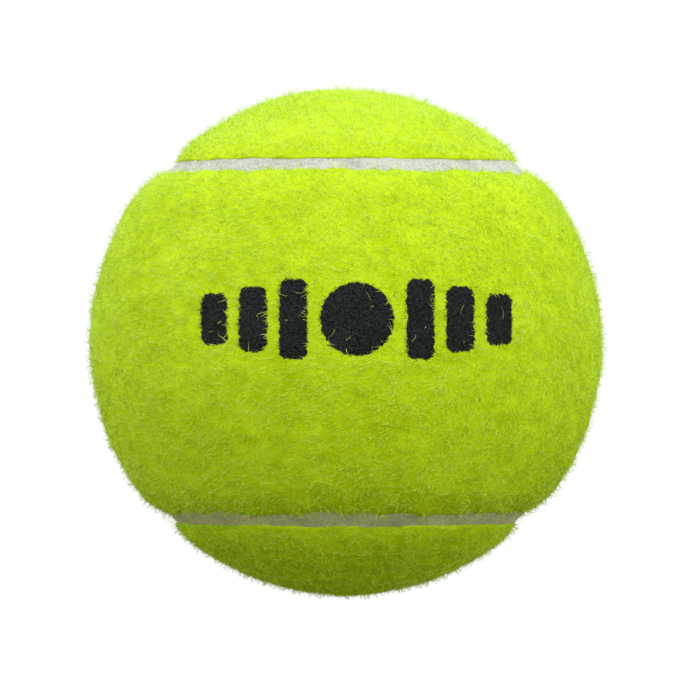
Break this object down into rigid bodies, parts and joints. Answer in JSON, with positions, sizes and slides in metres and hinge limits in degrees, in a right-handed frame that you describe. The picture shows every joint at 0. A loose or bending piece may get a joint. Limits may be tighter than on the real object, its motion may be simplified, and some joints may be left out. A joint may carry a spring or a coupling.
{
  "type": "tennis ball",
  "caption": "Hollow rubber tennis ball covered by two interlocking dog-bone felt panels with a pale cement seam between them.",
  "frame": {"origin": "centre of the ball", "axes": "-Y points out of the middle of the front felt panel's waist, +X and -X out of that panel's two round ends, +Z out of the back panel's upper round end"},
  "size_m": [0.0666, 0.0666, 0.0666],
  "materials": {
    "felt": "needled wool and nylon felt with a raised nap, optic yellow",
    "seam_rubber": "cured cement, matte, pale grey",
    "cement": "thin cured adhesive, satin, amber",
    "core_rubber": "moulded, buffed outside, matte, dark grey"
  },
  "bodies": {
    "root": {"felt_panel_front": "felt", "felt_panel_back": "felt", "seam_cement": "seam_rubber", "panel_cement_front": "cement", "panel_cement_back": "cement", "core_half_upper": "core_rubber", "core_half_lower": "core_rubber", "core_bond_ring": "cement"}
  },
  "joints": []
}
